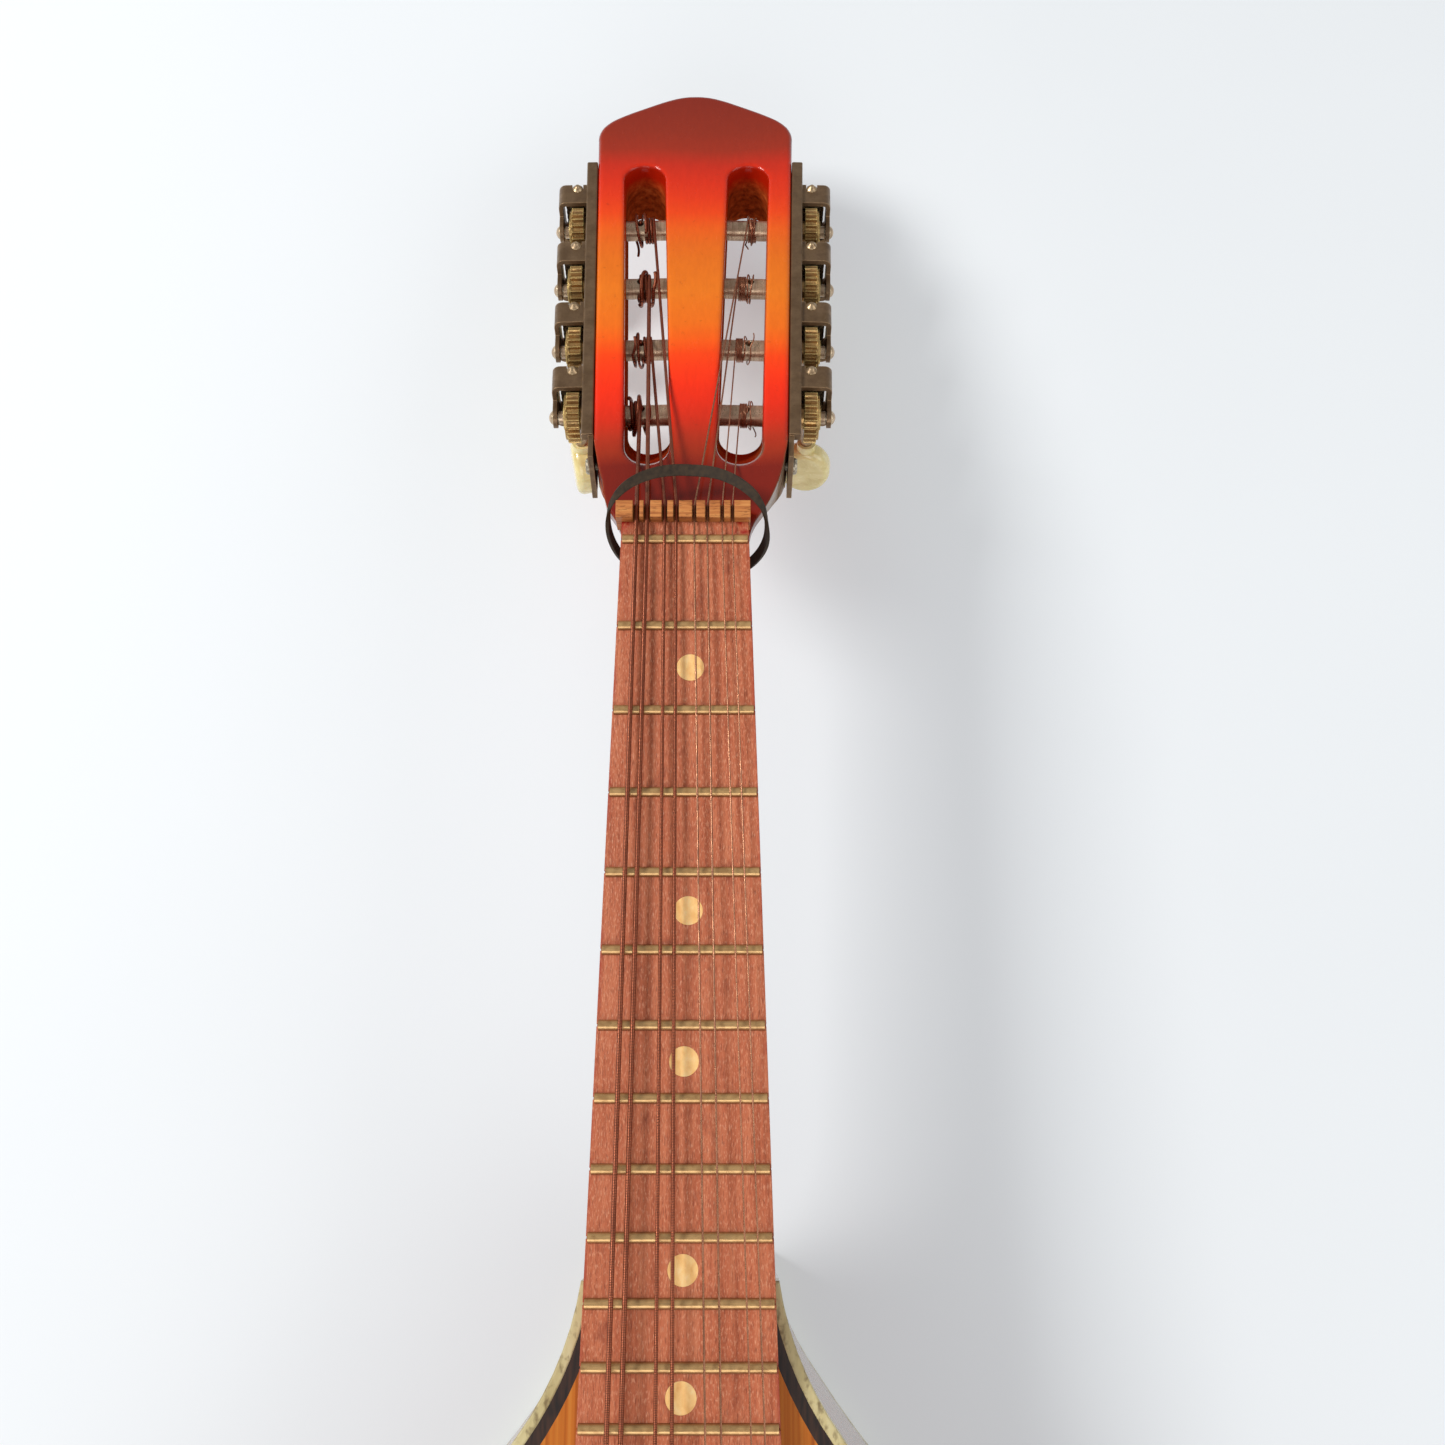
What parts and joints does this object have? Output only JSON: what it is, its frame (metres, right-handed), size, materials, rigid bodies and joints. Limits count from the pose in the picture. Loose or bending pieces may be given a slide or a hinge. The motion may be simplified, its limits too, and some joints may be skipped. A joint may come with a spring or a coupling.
{
  "type": "flat-backed mandolin",
  "caption": "Flat-backed plucked string instrument with paired courses, a slotted headstock, geared tuning keys, a fretted neck and a teardrop body.",
  "frame": {"origin": "on the flat outer face of the back, directly below the middle of the bridge line", "axes": "+X to the right seen from the front, +Y along the neck towards the headstock, +Z out of the soundboard"},
  "size_m": [0.236, 0.6105, 0.0819],
  "materials": {
    "spruce": "satin amber varnish, straight fine grain along the strings",
    "back_wood": "glossy red-brown varnish",
    "rib_wood": "glossy red-brown varnish",
    "inner_wood": "bare pale softwood",
    "binding": "cream plastic, aged",
    "purfling": "near-black stained strip",
    "neck_lacquer": "gloss lacquer shading from brick red through orange to dark red at the tip",
    "board_wood": "reddish stained hardwood, satin, open pores",
    "fret_metal": "worn polished bronze",
    "dot_inlay": "cream-yellow inlay",
    "nut_wood": "bare ochre hardwood",
    "bridge_wood": "dark stained hardwood",
    "saddle_bone": "off-white bone-like",
    "nickel": "polished nickel plate",
    "screw_steel": "plated steel screws",
    "wound_string": "copper-alloy winding",
    "plain_string": "bright plain steel wire",
    "band_rubber": "dull dark olive elastic",
    "plate_nickel": "dull tarnished nickel plate",
    "post_nickel": "nickel plated",
    "gear_brass": "machined brass",
    "worm_steel": "plated steel",
    "knob_ivory": "ivory-coloured plastic, soft gloss"
  },
  "bodies": {
    "instrument": {"soundboard": "spruce", "back_plate": "back_wood", "rib_left": "rib_wood", "rib_right": "rib_wood", "linings": "inner_wood", "neck_block": "inner_wood", "tail_block": "inner_wood", "braces": "inner_wood", "top_binding": "binding", "top_purfling": "purfling", "back_binding": "binding", "neck": "neck_lacquer", "fretboard": "board_wood", "frets": "fret_metal", "fret_dots": "dot_inlay", "nut": "nut_wood", "bridge": "bridge_wood", "bridge_saddle": "saddle_bone", "tailpiece": "nickel", "tailpiece_screws": "screw_steel", "tuner_screws": "screw_steel", "strings_g": "wound_string", "strings_d": "wound_string", "strings_a": "plain_string", "strings_e": "plain_string", "rubber_band": "band_rubber", "tuner_plate_left": "plate_nickel", "tuner_plate_right": "plate_nickel"},
    "roller_l1": {"tuner_l1_post": "post_nickel", "tuner_l1_gear": "gear_brass"},
    "key_l1": {"tuner_l1_worm": "worm_steel", "tuner_l1_knob": "knob_ivory"},
    "roller_l2": {"tuner_l2_post": "post_nickel", "tuner_l2_gear": "gear_brass"},
    "key_l2": {"tuner_l2_worm": "worm_steel", "tuner_l2_knob": "knob_ivory"},
    "roller_l3": {"tuner_l3_post": "post_nickel", "tuner_l3_gear": "gear_brass"},
    "key_l3": {"tuner_l3_worm": "worm_steel", "tuner_l3_knob": "knob_ivory"},
    "roller_l4": {"tuner_l4_post": "post_nickel", "tuner_l4_gear": "gear_brass"},
    "key_l4": {"tuner_l4_worm": "worm_steel", "tuner_l4_knob": "knob_ivory"},
    "roller_r1": {"tuner_r1_post": "post_nickel", "tuner_r1_gear": "gear_brass"},
    "key_r1": {"tuner_r1_worm": "worm_steel", "tuner_r1_knob": "knob_ivory"},
    "roller_r2": {"tuner_r2_post": "post_nickel", "tuner_r2_gear": "gear_brass"},
    "key_r2": {"tuner_r2_worm": "worm_steel", "tuner_r2_knob": "knob_ivory"},
    "roller_r3": {"tuner_r3_post": "post_nickel", "tuner_r3_gear": "gear_brass"},
    "key_r3": {"tuner_r3_worm": "worm_steel", "tuner_r3_knob": "knob_ivory"},
    "roller_r4": {"tuner_r4_post": "post_nickel", "tuner_r4_gear": "gear_brass"},
    "key_r4": {"tuner_r4_worm": "worm_steel", "tuner_r4_knob": "knob_ivory"}
  },
  "joints": [
    {"name": "key_turn_l1", "type": "hinge", "parent": "instrument", "child": "key_l1", "pos_m": [-0.02726, 0.39796, 0.05278], "axis": [0, 0.2588, 0.9659], "continuous": true},
    {"name": "roller_turn_l1", "type": "hinge", "parent": "instrument", "child": "roller_l1", "pos_m": [-0.02179, 0.38991, 0.05494], "axis": [0.9995, 0.0303, -0.0081], "continuous": true},
    {"name": "key_turn_l2", "type": "hinge", "parent": "instrument", "child": "key_l2", "pos_m": [-0.02792, 0.41837, 0.04731], "axis": [0, 0.2588, 0.9659], "continuous": true},
    {"name": "roller_turn_l2", "type": "hinge", "parent": "instrument", "child": "roller_l2", "pos_m": [-0.02246, 0.41033, 0.04947], "axis": [0.9995, 0.0303, -0.0081], "continuous": true},
    {"name": "key_turn_l3", "type": "hinge", "parent": "instrument", "child": "key_l3", "pos_m": [-0.02859, 0.43879, 0.04184], "axis": [0, 0.2588, 0.9659], "continuous": true},
    {"name": "roller_turn_l3", "type": "hinge", "parent": "instrument", "child": "roller_l3", "pos_m": [-0.02312, 0.43075, 0.04399], "axis": [0.9995, 0.0303, -0.0081], "continuous": true},
    {"name": "key_turn_l4", "type": "hinge", "parent": "instrument", "child": "key_l4", "pos_m": [-0.02925, 0.45921, 0.03637], "axis": [0, 0.2588, 0.9659], "continuous": true},
    {"name": "roller_turn_l4", "type": "hinge", "parent": "instrument", "child": "roller_l4", "pos_m": [-0.02379, 0.45116, 0.03852], "axis": [0.9995, 0.0303, -0.0081], "continuous": true},
    {"name": "key_turn_r1", "type": "hinge", "parent": "instrument", "child": "key_r1", "pos_m": [0.02906, 0.39796, 0.05278], "axis": [0, 0.2588, 0.9659], "continuous": true},
    {"name": "roller_turn_r1", "type": "hinge", "parent": "instrument", "child": "roller_r1", "pos_m": [0.02359, 0.38991, 0.05494], "axis": [0.9995, -0.0303, 0.0081], "continuous": true},
    {"name": "key_turn_r2", "type": "hinge", "parent": "instrument", "child": "key_r2", "pos_m": [0.02972, 0.41837, 0.04731], "axis": [0, 0.2588, 0.9659], "continuous": true},
    {"name": "roller_turn_r2", "type": "hinge", "parent": "instrument", "child": "roller_r2", "pos_m": [0.02426, 0.41033, 0.04947], "axis": [0.9995, -0.0303, 0.0081], "continuous": true},
    {"name": "key_turn_r3", "type": "hinge", "parent": "instrument", "child": "key_r3", "pos_m": [0.03039, 0.43879, 0.04184], "axis": [0, 0.2588, 0.9659], "continuous": true},
    {"name": "roller_turn_r3", "type": "hinge", "parent": "instrument", "child": "roller_r3", "pos_m": [0.02492, 0.43075, 0.04399], "axis": [0.9995, -0.0303, 0.0081], "continuous": true},
    {"name": "key_turn_r4", "type": "hinge", "parent": "instrument", "child": "key_r4", "pos_m": [0.03105, 0.45921, 0.03637], "axis": [0, 0.2588, 0.9659], "continuous": true},
    {"name": "roller_turn_r4", "type": "hinge", "parent": "instrument", "child": "roller_r4", "pos_m": [0.02559, 0.45116, 0.03852], "axis": [0.9995, -0.0303, 0.0081], "continuous": true}
  ],
  "couplings": [
    {"joint": "roller_turn_l1", "follows": "key_turn_l1", "ratio": -0.045455},
    {"joint": "roller_turn_l2", "follows": "key_turn_l2", "ratio": -0.045455},
    {"joint": "roller_turn_l3", "follows": "key_turn_l3", "ratio": -0.045455},
    {"joint": "roller_turn_l4", "follows": "key_turn_l4", "ratio": -0.045455},
    {"joint": "roller_turn_r1", "follows": "key_turn_r1", "ratio": -0.045455},
    {"joint": "roller_turn_r2", "follows": "key_turn_r2", "ratio": -0.045455},
    {"joint": "roller_turn_r3", "follows": "key_turn_r3", "ratio": -0.045455},
    {"joint": "roller_turn_r4", "follows": "key_turn_r4", "ratio": -0.045455}
  ]
}
